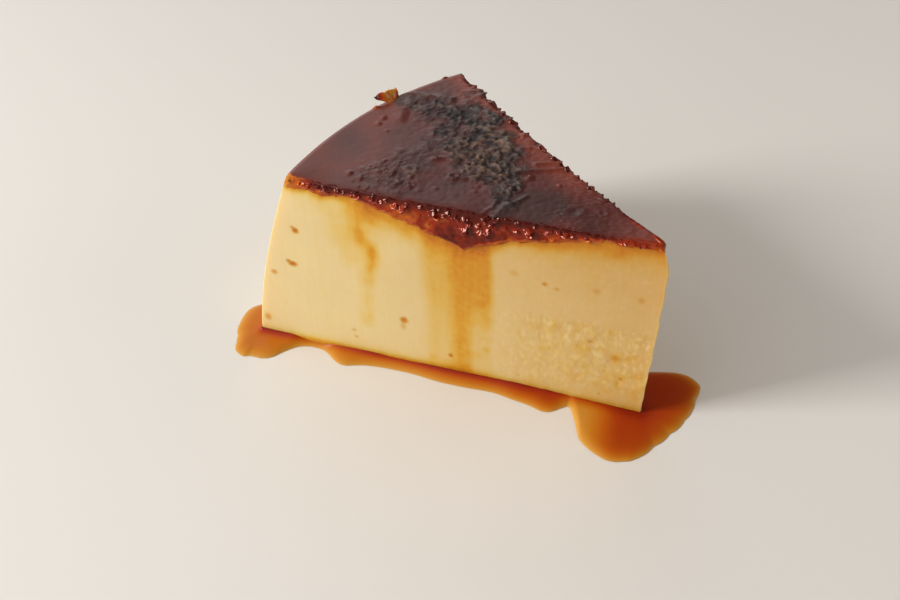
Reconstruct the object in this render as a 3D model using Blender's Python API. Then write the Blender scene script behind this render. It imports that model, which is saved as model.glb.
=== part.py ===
"""A slice of baked custard pudding: the set custard, its burnt caramel top and the caramel that ran out.

The slice stands on its flat base with one cut face along X, turned to -Y, and its tip towards +X.
The origin is on the floor, at the centroid of the base.
"""

import math

import bmesh
import bpy
import numpy
from mathutils import Vector, noise
from mathutils.geometry import intersect_point_line

# Every size below is in millimetres, and MM turns it into Blender's metres
MM = 0.001

# The whole round pudding, turned out of its mould, that the slice was cut from
PUDDING_HEIGHT = 52.4
TOP_RADIUS = 84.2
BASE_RADIUS = 97.3
WALL_CURVE = 1.5
CENTRE_FROM_TIP = Vector((-1.8, -5.1))

# The slice: its first cut runs from the tip towards -X, and its second is SLICE_ANGLE from that
SLICE_ANGLE = math.radians(41.2)
TIP_ROUND = 0.6
TIP_BULGE = 1.9
TIP_BULGE_LEVEL = 43.0
TIP_BULGE_SPREAD_ABOVE = 7.0
TIP_BULGE_SPREAD_BELOW = 30.0
TIP_BULGE_FADE = 5
SECOND_CUT_BOW = 1.3
LAYER_GAP = 0.3
FIRST_CUT_FACING = -math.pi / 2.0
SECOND_CUT_FACING = math.pi / 2.0 - SLICE_ANGLE

# The centroid of the base, from the tip
CENTROID_REACH = 2.0 / 3.0 * BASE_RADIUS * math.sin(SLICE_ANGLE / 2.0) / (SLICE_ANGLE / 2.0)
CENTROID_BEARING = math.pi - SLICE_ANGLE / 2.0
ORIGIN_FROM_TIP = Vector((math.cos(CENTROID_BEARING), math.sin(CENTROID_BEARING))) * CENTROID_REACH

# The caramel layer: thin at the tip, with a deep sag at the first cut that fades inwards
LAYER_DEPTH = 2.3
LAYER_DEPTH_AT_TIP = 1.1
LAYER_THICKENS_OVER = 26.0
LAYER_WAVE = 0.35
LAYER_WAVE_LENGTH = 9.0
SAG_DEPTH = 8.6
SAG_FROM_TIP = 42.0
SAG_RUN_TO_TIP = 21.0
SAG_RUN_TO_WALL = 29.0
SAG_RUN_INWARDS = 20.0
WALL_EDGE_DROP = 0.3

# The burnt crust on top: a craggy ridge along a bent spine and a field of small blisters
CHAR_SPINE = ((-76.0, 39.0), (-62.0, 38.0), (-50.0, 32.0), (-43.0, 20.0), (-37.0, 8.0), (-35.0, 2.0))
CHAR_HALF_WIDTH = 9.5
CHAR_HEIGHT = 1.5
CHAR_GRAIN = 4.2
BLISTER_CENTRE = Vector((-66.0, 5.5))
BLISTER_RADIUS = 10.0
BLISTER_HEIGHT = 0.8
BLISTER_GRAIN = 3.0
SOFT_SWELL = 0.25
SOFT_SWELL_LENGTH = 17.0

# The second cut tore the caramel, so its edge there is ragged and hangs over the custard a little
TEAR_OVERHANG = 0.3
TEAR_DEPTH = 1.1
TEAR_LENGTH = 2.6
TEAR_CALM_AT_TIP = 16.0

# The torn flake of caramel that curls up and out at the wall's edge
FLAKE_BEARING = math.radians(153.0)
FLAKE_WIDTH = 6.4
FLAKE_LENGTH = 4.6
FLAKE_THICKNESS = 1.5
FLAKE_RISE = 1.8
FLAKE_ROOT = 2.2

# The pool of thin caramel on the floor round the slice
POOL_DEPTH = 0.9
POOL_RIM_WIDTH = 2.6
MENISCUS_HEIGHT = 2.1
MENISCUS_WIDTH = 1.1
MENISCUS_CALM_AT_TIP = 45.0
POOL_RIPPLE = 0.2
POOL_RIPPLE_LENGTH = 7.0

# How far the pool reaches beyond the slice. A place is a stretch of the base's outline and a share
# of it: 0 the tip, 1 the first cut, 2 the front corner, 3 the wall, 4 the back corner, 5 the second cut
POOL_REACH = (
    (0.00, 18.4), (0.10, 14.2), (0.30, 10.2), (0.55, 8.4), (0.80, 9.8), (1.00, 14.6), (1.045, 16.4),
    (1.08, 15.0), (1.11, 13.3), (1.135, 11.0), (1.148, 8.6), (1.158, 1.2), (1.177, 1.4), (1.197, 4.3),
    (1.225, 6.0), (1.262, 4.6), (1.313, 3.9), (1.353, 3.0), (1.494, 3.5), (1.575, 2.6), (1.656, 2.7),
    (1.716, 3.4), (1.76, 5.4), (1.787, 4.0), (1.812, 0.9), (1.868, 0.8), (1.908, 2.6), (1.928, 6.0),
    (1.954, 8.7), (1.979, 8.3), (2.10, 9.2), (2.30, 8.7), (2.50, 7.1), (2.70, 6.4), (3.00, 7.2),
    (3.05, 8.2), (3.10, 8.1), (3.16, 4.0), (3.40, 2.0), (3.75, 2.6), (4.10, 2.2), (4.50, 3.2),
    (5.00, 2.6), (5.40, 2.0), (5.70, 2.6), (5.86, 5.0), (5.91, 13.5), (5.95, 17.8),
)
POOL_REACH_SOFTENING = (-0.012, -0.006, 0.0, 0.006, 0.012)

# Steps of each mesh: from the tip to the wall, from cut to cut, and upwards
CUSTARD_STEPS = (34, 14, 11)
LAYER_STEPS = (50, 26, 2)
FLAKE_STEPS = (5, 5, 2)
POOL_CORNER_STEPS = (20, 10, 6)
POOL_SIDE_STEPS = (66, 22, 34)

CUSTARD_COLOUR = (0.78, 0.56, 0.27, 1.0)
LAYER_COLOUR = (0.075, 0.018, 0.010, 1.0)
POOL_COLOUR = (0.36, 0.075, 0.012, 1.0)


def smooth(low, high, value):
    """Rise gently from 0 at low to 1 at high."""
    share = min(max((value - low) / (high - low), 0.0), 1.0)
    return share * share * (3.0 - 2.0 * share)


def mix(first, second, share):
    """Go from first to second as share goes from 0 to 1."""
    return first + (second - first) * share


def heading(bearing):
    """A unit step on the floor along a bearing."""
    return Vector((math.cos(bearing), math.sin(bearing)))


def fresh_scene():
    """Clear the scene, and make the collections for the parts and for what shapes them."""
    for old in list(bpy.data.objects):
        bpy.data.objects.remove(old)
    parts = bpy.data.collections.new("custard_pudding_slice")
    helpers = bpy.data.collections.new("helpers")
    for collection in (parts, helpers):
        bpy.context.scene.collection.children.link(collection)
    return parts, helpers


def material(name, colour, roughness):
    """A plain surface for one sub-part."""
    made = bpy.data.materials.new(name)
    made.use_nodes = True
    surface = made.node_tree.nodes["Principled BSDF"]
    surface.inputs["Base Color"].default_value = colour
    surface.inputs["Roughness"].default_value = roughness
    surface.inputs["Metallic"].default_value = 0.0
    return made


def object_from(shape, name, collection):
    """Turn a shape into a named object, its faces turned outwards."""
    bmesh.ops.recalc_face_normals(shape, faces=shape.faces)
    mesh = bpy.data.meshes.new(name)
    shape.to_mesh(mesh)
    shape.free()
    made = bpy.data.objects.new(name, mesh)
    collection.objects.link(made)
    return made


def block(steps, place):
    """A closed block of steps, bent into shape: place takes shares of its three sides, in millimetres."""
    along, across, upwards = steps
    shape = bmesh.new()
    bmesh.ops.create_grid(shape, x_segments=along, y_segments=across, size=0.5)
    share = {}
    for vert in shape.verts:
        share[vert] = (vert.co.x + 0.5, vert.co.y + 0.5, 0.0)
    top = list(shape.faces)
    for level in range(1, upwards + 1):
        made = bmesh.ops.extrude_face_region(shape, geom=top, use_keep_orig=level == 1)["geom"]
        for vert in (item for item in made if isinstance(item, bmesh.types.BMVert)):
            share[vert] = (vert.co.x + 0.5, vert.co.y + 0.5, level / upwards)
        if level > 1:
            bmesh.ops.delete(shape, geom=top, context="FACES_ONLY")
        top = [item for item in made if isinstance(item, bmesh.types.BMFace)]
    for vert, shares in share.items():
        vert.co = place(*shares) * MM
    return shape


def wall_radius(height):
    """Radius of the whole pudding at a height: it leans in towards the top."""
    rise = max(height, 0.0) / PUDDING_HEIGHT
    return mix(BASE_RADIUS, TOP_RADIUS, rise ** WALL_CURVE)


def reach_to_wall(bearing, height):
    """Distance from the slice's tip to the pudding's wall."""
    along = CENTRE_FROM_TIP.dot(heading(bearing))
    aside = CENTRE_FROM_TIP.length_squared - along ** 2
    return along + math.sqrt(wall_radius(height) ** 2 - aside)


def slice_spot(out, turn, height):
    """A spot of the slice, from the tip: out runs to the wall, and turn from the first cut to the second."""
    bearing = math.pi - turn * SLICE_ANGLE
    spot = heading(bearing) * mix(TIP_ROUND, reach_to_wall(bearing, height), out)
    spread = TIP_BULGE_SPREAD_ABOVE if height > TIP_BULGE_LEVEL else TIP_BULGE_SPREAD_BELOW
    lift = (height - TIP_BULGE_LEVEL) / spread
    spot.x += TIP_BULGE * math.exp(-lift * lift) * (1.0 - out) ** TIP_BULGE_FADE
    bow = SECOND_CUT_BOW * math.sin(math.pi * out) * turn * (height / PUDDING_HEIGHT) ** 2
    return spot - heading(SECOND_CUT_FACING) * bow


def from_origin(spot, height):
    """Put a spot that is measured from the tip into the part's frame."""
    return Vector((spot.x - ORIGIN_FROM_TIP.x, spot.y - ORIGIN_FROM_TIP.y, height))


def waviness(spot, length, layer):
    """A smooth wave from -1 to 1 over the floor plan, different for each layer."""
    return noise.noise(Vector((spot.x / length, spot.y / length, layer)))


def layer_depth(spot):
    """Depth of the caramel under the top: its sag at the first cut fades inwards."""
    depth = mix(LAYER_DEPTH_AT_TIP, LAYER_DEPTH, smooth(0.0, LAYER_THICKENS_OVER, -spot.x))
    from_sag = -spot.x - SAG_FROM_TIP
    run = SAG_RUN_TO_WALL if from_sag > 0.0 else SAG_RUN_TO_TIP
    sag = max(0.0, 1.0 - abs(from_sag) / run)
    sag *= max(0.0, 1.0 - max(spot.y, 0.0) / SAG_RUN_INWARDS)
    return depth + SAG_DEPTH * sag + LAYER_WAVE * waviness(spot, LAYER_WAVE_LENGTH, 3.0)


def custard_top(spot):
    """Height of the custard under the caramel."""
    return PUDDING_HEIGHT - layer_depth(spot) - LAYER_GAP


def distance_to_spine(spot):
    """Distance from a spot to the burnt ridge's spine."""
    nearest = []
    for start, end in zip(CHAR_SPINE, CHAR_SPINE[1:]):
        foot, share = intersect_point_line(spot, Vector(start), Vector(end))
        foot = Vector(start).lerp(Vector(end), min(max(share, 0.0), 1.0))
        nearest.append((foot.xy - spot).length)
    return min(nearest)


def crust_relief(spot):
    """Height of the crags and blisters above the smooth caramel."""
    burnt = 1.0 - smooth(0.35, 1.0, distance_to_spine(spot) / CHAR_HALF_WIDTH)
    crags = abs(waviness(spot, CHAR_GRAIN, 0.0)) + 0.5 * abs(waviness(spot, CHAR_GRAIN / 2.0, 1.0))
    blistered = 1.0 - smooth(0.4, 1.0, (spot - BLISTER_CENTRE).length / BLISTER_RADIUS)
    blisters = max(0.0, waviness(spot, BLISTER_GRAIN, 2.0))
    relief = CHAR_HEIGHT * burnt * (0.25 + crags) + BLISTER_HEIGHT * blistered * blisters
    return relief + SOFT_SWELL * waviness(spot, SOFT_SWELL_LENGTH, 4.0)


def tear(spot):
    """How far the torn caramel stands out from the second cut."""
    torn = waviness(spot, TEAR_LENGTH, 5.0) + 0.5 * waviness(spot, TEAR_LENGTH / 2.0, 6.0)
    return TEAR_OVERHANG + TEAR_DEPTH * max(torn, -0.3) * smooth(0.0, TEAR_CALM_AT_TIP, spot.length)


def custard_place(out, turn, rise):
    """Bend the block into the custard: straight cuts, a leaning wall and a top sagging under the caramel."""
    height = rise * custard_top(slice_spot(out, turn, PUDDING_HEIGHT))
    return from_origin(slice_spot(out, turn, height), height)


def make_custard(parts):
    """The set custard, on one flat base."""
    shape = block(CUSTARD_STEPS, custard_place)
    base = [face for face in shape.faces if face.calc_center_median().z < LAYER_GAP * MM / 2.0]
    bmesh.ops.dissolve_faces(shape, faces=base, use_verts=False)
    custard = object_from(shape, "custard", parts)
    custard.data.materials.append(material("custard_set", CUSTARD_COLOUR, 0.45))


def layer_place(out, turn, rise):
    """Bend the block into the caramel layer, its crust on top and its torn edge at the second cut."""
    above = slice_spot(out, turn, PUDDING_HEIGHT)
    underside = PUDDING_HEIGHT - layer_depth(above)
    at_edge = smooth(0.9, 1.0, out) * WALL_EDGE_DROP
    topside = PUDDING_HEIGHT + crust_relief(above) * smooth(0.0, 0.08, turn) - at_edge
    height = mix(underside, topside, rise)
    spot = slice_spot(out, turn, height)
    if turn == 1.0:
        spot += heading(SECOND_CUT_FACING) * tear(above) * out * (0.4 + 0.6 * rise)
    return from_origin(spot, height)


def flake_place(along, across, rise):
    """Bend a small block into the flake: rooted in the layer, it rises and curls out over the wall."""
    outwards = heading(FLAKE_BEARING)
    sideways = heading(FLAKE_BEARING - math.pi / 2.0)
    reach = reach_to_wall(FLAKE_BEARING, PUDDING_HEIGHT) - FLAKE_ROOT + along * FLAKE_LENGTH
    taper = mix(1.0, 0.45, along ** 2)
    spot = outwards * reach + sideways * (across - 0.5) * FLAKE_WIDTH * taper
    thickness = FLAKE_THICKNESS * mix(1.0, 0.5, along)
    sink = FLAKE_THICKNESS * (1.0 - along)
    cup = (2.0 * across - 1.0) ** 2
    height = PUDDING_HEIGHT - sink + FLAKE_RISE * smooth(0.0, 0.8, along) * mix(1.0, 0.7, cup)
    return from_origin(spot, height + thickness * (rise - 0.5))


def make_caramel_top(parts, helpers):
    """The burnt caramel layer, with its flake joined on."""
    layer = object_from(block(LAYER_STEPS, layer_place), "caramel_top", parts)
    layer.data.materials.append(material("caramel_burnt", LAYER_COLOUR, 0.25))
    flake = object_from(block(FLAKE_STEPS, flake_place), "caramel_flake", helpers)
    flake.hide_render = True
    flake.display_type = "WIRE"
    join = layer.modifiers.new("join_flake", "BOOLEAN")
    join.operation = "UNION"
    join.object = flake


def base_corner(stretch):
    """Where the base's outline turns: at the tip, the front corner or the back corner."""
    if stretch == 0:
        return Vector((0.0, 0.0))
    bearing = math.pi if stretch == 2 else math.pi - SLICE_ANGLE
    return heading(bearing) * reach_to_wall(bearing, 0.0)


def wall_facing(spot):
    """The bearing that the wall faces at a spot on it."""
    out = spot - CENTRE_FROM_TIP
    return math.atan2(out.y, out.x) % (2.0 * math.pi)


def outline_place(stretch, share):
    """A spot on the base's outline and the bearing it faces, clockwise from the tip."""
    front, back = base_corner(2), base_corner(4)
    if stretch == 0:
        return base_corner(0), mix(SECOND_CUT_FACING, FIRST_CUT_FACING, share)
    if stretch == 1:
        return front * share, FIRST_CUT_FACING
    if stretch == 2:
        return front, mix(FIRST_CUT_FACING, wall_facing(front) - 2.0 * math.pi, share)
    if stretch == 3:
        bearing = math.pi - share * SLICE_ANGLE
        spot = heading(bearing) * reach_to_wall(bearing, 0.0)
        return spot, wall_facing(spot)
    if stretch == 4:
        return back, mix(wall_facing(back), SECOND_CUT_FACING, share)
    return back * (1.0 - share), SECOND_CUT_FACING


def pool_reach(station):
    """How far the pool reaches at a station round the slice, eased between the named places."""
    places, reaches = zip(*POOL_REACH)
    near = [station + step for step in POOL_REACH_SOFTENING]
    return float(numpy.interp(near, places, reaches, period=6.0).mean())


def pool_stations():
    """The stations round the outline: each corner is a fan of its own."""
    stations = []
    for turn, (corner_steps, side_steps) in enumerate(zip(POOL_CORNER_STEPS, POOL_SIDE_STEPS)):
        stations += [(2 * turn, step / corner_steps) for step in range(corner_steps)]
        stations += [(2 * turn + 1, step / side_steps) for step in range(side_steps)]
    return stations


def pool_section(reach, climb):
    """The pool's cross-section as distance and height: flat below, a climb at the slice, a thin rim."""
    shares = (1.0, 0.97, 0.9, 0.78, 0.6, 0.4, 0.24, 0.12, 0.05, 0.0)
    section = [(0.0, 0.0), (reach, 0.0)]
    for share in shares[1:]:
        distance = share * reach
        rim = min((reach - distance) / POOL_RIM_WIDTH, 1.0)
        height = POOL_DEPTH * math.sqrt(rim * (2.0 - rim))
        height += climb * math.exp(-distance / MENISCUS_WIDTH)
        section.append((distance, height))
    return section


def make_pool(parts):
    """The ring of caramel on the floor, open round the custard."""
    stations = pool_stations()
    sides = len(pool_section(POOL_DEPTH, 0.0))
    bpy.ops.mesh.primitive_torus_add(major_segments=len(stations), minor_segments=sides)
    pool = bpy.context.object
    pool.name = pool.data.name = "caramel_pool"
    for collection in list(pool.users_collection):
        collection.objects.unlink(pool)
    parts.objects.link(pool)
    for turn, (stretch, share) in enumerate(stations):
        spot, facing = outline_place(stretch, share)
        ripple = POOL_RIPPLE * waviness(spot + heading(facing) * POOL_DEPTH, POOL_RIPPLE_LENGTH, 7.0)
        climb = MENISCUS_HEIGHT * smooth(0.0, MENISCUS_CALM_AT_TIP, spot.length)
        section = pool_section(pool_reach(stretch + share) + ripple, climb)
        for side, (distance, height) in enumerate(section):
            edge = spot + heading(facing) * (LAYER_GAP + distance)
            pool.data.vertices[turn * sides + side].co = from_origin(edge, height) * MM
    shape = bmesh.new()
    shape.from_mesh(pool.data)
    bmesh.ops.recalc_face_normals(shape, faces=shape.faces)
    shape.to_mesh(pool.data)
    shape.free()
    pool.data.materials.append(material("caramel_sauce", POOL_COLOUR, 0.08))


def main():
    parts, helpers = fresh_scene()
    make_custard(parts)
    make_caramel_top(parts, helpers)
    make_pool(parts)


main()
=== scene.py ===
"""The looks of the custard pudding slice: fine surfaces and materials, the floor, light and camera."""

from functools import partial
from math import atan2, cos, exp, hypot, pi, radians, sin, sqrt, tan

import bmesh
import bpy
import numpy
from mathutils import Matrix, Vector, noise
from mathutils.geometry import intersect_point_line


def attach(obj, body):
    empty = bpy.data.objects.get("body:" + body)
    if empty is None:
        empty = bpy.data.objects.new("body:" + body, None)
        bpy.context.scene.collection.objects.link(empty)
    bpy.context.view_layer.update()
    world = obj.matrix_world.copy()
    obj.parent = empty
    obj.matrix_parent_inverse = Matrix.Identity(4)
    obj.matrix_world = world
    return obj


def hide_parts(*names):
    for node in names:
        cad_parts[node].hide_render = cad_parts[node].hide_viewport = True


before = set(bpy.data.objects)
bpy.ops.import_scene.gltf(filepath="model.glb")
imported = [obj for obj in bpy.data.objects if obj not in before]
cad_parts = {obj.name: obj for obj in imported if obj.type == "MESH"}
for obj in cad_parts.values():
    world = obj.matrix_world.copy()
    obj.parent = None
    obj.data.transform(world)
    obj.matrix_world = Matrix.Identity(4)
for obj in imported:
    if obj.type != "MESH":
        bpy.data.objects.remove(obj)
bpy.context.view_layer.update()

# Every size below is in millimetres, and MM turns it into Blender's metres
MM = 0.001
# Further than any edge, and a step that gives each place a random number of its own
FAR = 99
CHANCE_STEP = 7.3

# The whole round pudding and the slice, as the part's source has them
PUDDING_HEIGHT = 52.4
TOP_RADIUS = 84.2
BASE_RADIUS = 97.3
WALL_CURVE = 1.5
CENTRE_FROM_TIP = Vector((-1.8, -5.1))
SLICE_ANGLE = radians(41.2)
TIP_ROUND = 0.6
TIP_BULGE = 1.9
TIP_BULGE_LEVEL = 43
TIP_BULGE_SPREAD_ABOVE = 7
TIP_BULGE_SPREAD_BELOW = 30
TIP_BULGE_FADE = 5
SECOND_CUT_BOW = 1.3
FIRST_CUT_FACING = -pi / 2
SECOND_CUT_FACING = pi / 2 - SLICE_ANGLE
CENTROID_REACH = 2 / 3 * BASE_RADIUS * sin(SLICE_ANGLE / 2) / (SLICE_ANGLE / 2)
CENTROID_BEARING = pi - SLICE_ANGLE / 2
ORIGIN_FROM_TIP = Vector((cos(CENTROID_BEARING), sin(CENTROID_BEARING))) * CENTROID_REACH

# Folds of the custard sharper than this stay crisp: the edges of its cuts
CUT_CORNER = radians(30)

# The caramel layer, and its sag at the first cut
LAYER_DEPTH = 2.3
LAYER_DEPTH_AT_TIP = 1.1
LAYER_THICKENS_OVER = 26
LAYER_WAVE = 0.35
LAYER_WAVE_LENGTH = 9
SAG_DEPTH = 8.6
SAG_FROM_TIP = 42
SAG_RUN_TO_TIP = 21
SAG_RUN_TO_WALL = 29
SAG_RUN_INWARDS = 20
LAYER_OVERLAP = 0.15
# Dips of its lower edge at the first cut: distance from the tip, half width and extra depth
DIPS_RUN_INWARDS = 8
LAYER_DIPS = (
    (76.3, 3.2, 1.4), (82.8, 2.6, 0.5), (21.5, 4, 0.9), (31.8, 3, -0.8), (41.8, 1.6, 0.5),
)

# Soft spots of the top, each as place, radius and strength: they fade between two shares of the radius
SPOT_CORE = 0.55
SPOT_END = 1.2
# Where the top is charred, and how high the char stands
CHAR_HEIGHT = 1.1
CHAR_SPOTS = (
    (-66.5, 38, 5, 0.7), (-60.5, 36.5, 6.5, 0.85), (-54.5, 35.5, 6.5, 1), (-48.5, 33, 6, 1),
    (-55.5, 28.5, 5.5, 0.75), (-46.5, 27, 7.5, 1), (-42.5, 21.5, 6.5, 1), (-51, 21, 6, 0.85),
    (-46.5, 15.5, 6, 0.75), (-39.5, 15, 5.5, 1), (-37.5, 9.5, 4, 1), (-36.3, 4.5, 3, 0.9), (-36, 1, 2.2, 0.4),
    (-61, 13.5, 6, 0.35), (-63, 7, 7.5, 0.4), (-57.5, 20.5, 4.5, 0.45), (-71, 40, 3, 0.5),
    (-49, 43.5, 2.6, 0.5), (-56, 45, 2.4, 0.5), (-42, 36, 3, 0.5),
)
# Brown dust on the char, and the sheen's dark shades
DUST_SPOTS = (
    (-46, 20, 9, 1), (-40.5, 14, 6, 1), (-44, 27, 6.5, 0.8), (-61, 8.5, 7, 0.6), (-37, 6, 4, 0.7),
    (-53, 16.5, 4.5, 0.7), (-51, 27, 5, 0.5), (-64, 16, 5, 0.5),
)
SHADE_SPOTS = (
    (-28.5, 5, 7.5, 0.65), (-32, 3, 6, 0.5), (-63, 46, 4, 0.35), (-62, 20, 9, 0.3), (-72, 3, 6, 0.25),
    (-50, 6, 6, 0.25), (-21, 5.6, 2.2, 0.5), (-52.5, 45.4, 2.2, 0.6),
)
# Pale spots, a painted highlight where folds catch the light, and embers: thin places that glow
PALE_HIGHLIGHT_SPOTS = (
    (-71, 38, 3.4, 0.75), (-67, 41.6, 2.6, 0.5), (-61, 41.4, 2.6, 0.4), (-38, 25.6, 1.6, 0.4),
)
EMBERS = (
    (-76.6, 33, 1.1, 0.8), (-26, 14.2, 0.5, 0.45), (-28.7, 24.4, 1.1, 0.45), (-22, 19.3, 1.1, 0.45),
    (-42.3, 36, 1.2, 0.45), (-86.2, 0, 1.5, 1), (-33, 15.4, 0.7, 0.3),
)

# The blistered patch at the wall, and how the top's outer edges round off
BLISTER_CENTRE = Vector((-65, 5.5))
BLISTER_RADIUS = 10.5
EDGE_DROP = 0.3
EDGE_DROP_WIDTH = 1.1
# Lumps of the top as place, radius and height: those below zero are burst bubbles with a rim
TOP_LUMPS = (
    (-73.2, 29, 1, 0.4), (-73.4, 26.4, 0.9, 0.3), (-70.5, 24, 0.8, 0.15), (-72.6, 5.6, 0.9, 0.45),
    (-69.6, 4.2, 1, 0.4), (-66.6, 7.4, 0.8, 0.4), (-66.6, 12.2, 0.8, 0.25), (-63.2, 8.3, 0.9, 0.45),
    (-58.8, 7.6, 0.8, 0.4), (-58, 4.2, 0.9, 0.35), (-61.4, 3.9, 0.8, 0.35), (-58.6, 11.2, 0.6, 0.25),
    (-49.6, 10.9, 1, -0.45), (-47.3, 16, 0.9, -0.6), (-46.2, 12.8, 0.8, 0.35), (-34.8, 10, 1, -0.45),
    (-33, 15, 1.1, 0.6), (-36, 17.2, 1, 0.3), (-26, 14.1, 0.6, 0.4), (-20.6, 5.8, 1.8, -0.12),
    (-14.6, 7, 0.9, -0.1), (-52.2, 5.5, 0.8, 0.15), (-25.3, 21, 0.9, 1.1), (-22, 19, 1.1, 0.9),
    (-29, 24.4, 1.2, 0.8), (-45.2, 39.4, 1.2, 1.2), (-42.4, 36.6, 1, 1.3), (-53.3, 44.8, 1.4, 0.6),
    (-65, 51.2, 1, 0.9), (-33.6, 27.4, 0.9, 0.7), (-38.5, 31.2, 0.9, 0.7), (-18.9, 15.6, 0.6, 0.6),
    (-76.7, 33.2, 1, 0.7), (-55.4, 16.2, 0.7, 0.55), (-43.5, 6.5, 0.9, 0.15), (-48, 13, 0.6, 0.4),
    (-86, 0, 9, 0.7), (0, 0, 10, 0.55), (-58, 53, 3, 0.35),
)
# Wrinkles of the top: their course, half width and height
TOP_WRINKLES = (
    (((-36.5, 15.6), (-33.5, 17.6), (-30, 18.8), (-26.5, 20.6)), 0.55, 0.5),
    (((-33, 20.5), (-30, 21.8), (-27, 22.4)), 0.5, 0.4),
    (((-32, 8), (-33.8, 5), (-35.6, 2.5), (-36.6, 0)), 0.5, 0.35),
    (((-56, 16), (-53.2, 17.1), (-50.2, 17)), 0.6, 0.5),
    (((-71, 40.6), (-66, 41.4), (-60, 41)), 1.1, 0.5),
    (((-72.5, 36), (-69.8, 33), (-69.2, 30)), 1.4, 0.35),
    (((-41, 26), (-38, 25.4), (-36, 26.2)), 0.6, 0.35),
    (((-50.5, 9.8), (-47, 10.6), (-43.5, 12.4), (-41, 12)), 0.5, 0.4),
    (((-39.5, 0), (-38.2, 2), (-37.6, 4.5)), 0.5, 0.3),
)
# Teeth along the second cut's edge: a tooth's width, and where across the slice they start and end
COMB_TOOTH = 1.15
COMB_START = 8.5
COMB_END = 21

# The skin over the wet caramel: its thickness, and where, how wide and how deep it folds at the first cut
SKIN = 0.35
SKIN_FOLD_PLACE = -37
SKIN_FOLD_WIDTH = 0.9
SKIN_FOLD_DEPTH = 0.8

# Wet caramel at a cut: how far its back lies inside, and the share of its steps before it bends over
WET_BACK = 0.9
WET_BEND = 0.75
# Its glow along the first cut, as pairs of the distance from the tip and a value, and at its upper edge
WET_GLOW = (
    (0, 0.66), (6, 0.62), (11, 0.48), (16, 0.44), (25, 0.5), (35, 0.44), (42, 0.38), (48, 0.54), (54, 0.68),
    (60, 0.66), (66, 0.53), (74, 0.56), (80, 0.7), (83, 0.8), (86, 0.95),
)
WET_TOP = (
    (0, 0.58), (8, 0.5), (14, 0.22), (20, 0.18), (52, 0.18), (56, 0.28), (62, 0.18), (78, 0.18), (82, 0.7),
    (86, 0.95),
)
# Likewise how thick its amber lower edge is, how far it droops, and how far it runs onto the top
WET_AMBER = (
    (0, 0.9), (10, 1.4), (20, 2), (32, 2), (41, 2.2), (44, 1), (52, 2), (60, 2), (70, 1),
)
WET_DROOP = ((0, 0.7), (10, 0.9), (22, 1), (31, 0.8), (37, 0))
WET_RUN = (
    (0, 1), (8, 0.6), (16, 0.3), (40, 0.3), (52, 0.4), (62, 0.6), (74, 0.8), (87, 1.5),
)

# Curls of boiled sugar in the first cut's wet caramel: place along X, height and half height
FACE_CURLS = (
    (-85.3, 52.4, 0.4), (-84, 52.6, 0.35), (-82.6, 51.6, 0.35), (-80, 51.9, 0.35), (-77.8, 51.6, 0.45),
    (-76.3, 51.5, 0.55), (-73.2, 51.4, 0.5), (-71.6, 51.3, 0.35), (-69.2, 51.8, 0.4), (-68.2, 50.9, 0.55),
    (-65, 51.2, 0.5), (-63.8, 50.7, 0.45), (-61.6, 51.3, 0.35), (-59.4, 50.3, 0.6), (-57.6, 49.9, 0.7),
    (-56.8, 51, 0.45), (-53.5, 51.2, 0.35), (-50.6, 50.4, 0.65), (-49.2, 49.3, 0.55), (-47.3, 51, 0.35),
    (-45.8, 50.4, 0.55), (-43.4, 50.2, 0.4), (-42.9, 47.6, 0.7), (-42.4, 46.2, 0.5), (-41.9, 49, 0.5),
    (-40.2, 49, 0.5), (-39.3, 47.5, 0.6), (-38, 48, 0.7), (-37.3, 50.3, 0.6), (-36.2, 51.2, 0.45),
    (-31.8, 49.3, 0.4), (-29.2, 50, 0.65), (-28.5, 49, 0.6), (-25.2, 50.1, 0.4), (-21.3, 50.5, 0.5),
    (-19.7, 50.6, 0.4), (-16.2, 50, 0.35), (-8.5, 51, 0.3),
)
# A curl's slopes turn it to the light: it is longer than high, and drawn larger than listed
CURL_SLOPE_ASIDE = 0.45
CURL_SLOPE_UP = 0.98
CURL_LENGTH = 1.5
CURL_SWELL = 1.2

# The torn flake of caramel at the wall's edge
FLAKE_BEARING = radians(153.3)
FLAKE_WIDTH = 5.8
FLAKE_ROOT_WIDTH = 3.4
FLAKE_LENGTH = 4.1
FLAKE_THICKNESS = 1.2
FLAKE_RISE = 2.1
FLAKE_ROOT = 3.3

# The pool, nearly as in the part's source: its rim is thinner, it climbs the custard and starts inside it
POOL_DEPTH = 0.9
POOL_OVERLAP = 0.15
POOL_RIM_WIDTH = 3.8
MENISCUS_HEIGHT = 1.7
MENISCUS_WIDTH = 0.9
MENISCUS_CALM_AT_TIP = 45
POOL_RIPPLE = 0.2
POOL_RIPPLE_LENGTH = 7
# Its reach by station, clockwise: 0 tip, 1 first cut, 2 front corner, 3 wall, 4 back corner, 5 second cut
POOL_REACH = (
    (0, 18.4), (0.1, 14.2), (0.3, 10.2), (0.55, 8.4), (0.8, 9.8), (1, 14.6), (1.045, 16.4), (1.08, 15),
    (1.11, 13.3), (1.135, 11), (1.148, 8.6), (1.158, 1.2), (1.177, 1.4), (1.197, 4.3), (1.225, 6),
    (1.262, 4.6), (1.313, 3.9), (1.353, 3), (1.494, 3.5), (1.575, 2.6), (1.656, 2.7), (1.716, 3.4),
    (1.76, 5.2), (1.787, 3.7), (1.818, 1), (1.868, 0.8), (1.908, 2.6), (1.928, 6), (1.954, 8.7), (1.979, 8.3),
    (2.1, 9.2), (2.3, 8.7), (2.5, 7.1), (2.7, 6.4), (3, 7.2), (3.05, 8.2), (3.1, 8.1), (3.16, 4), (3.4, 2),
    (3.75, 2.6), (4.1, 2.2), (4.5, 3.2), (5, 2.6), (5.4, 2), (5.7, 2.6), (5.86, 5), (5.91, 13.5),
    (5.95, 17.8),
)
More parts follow.
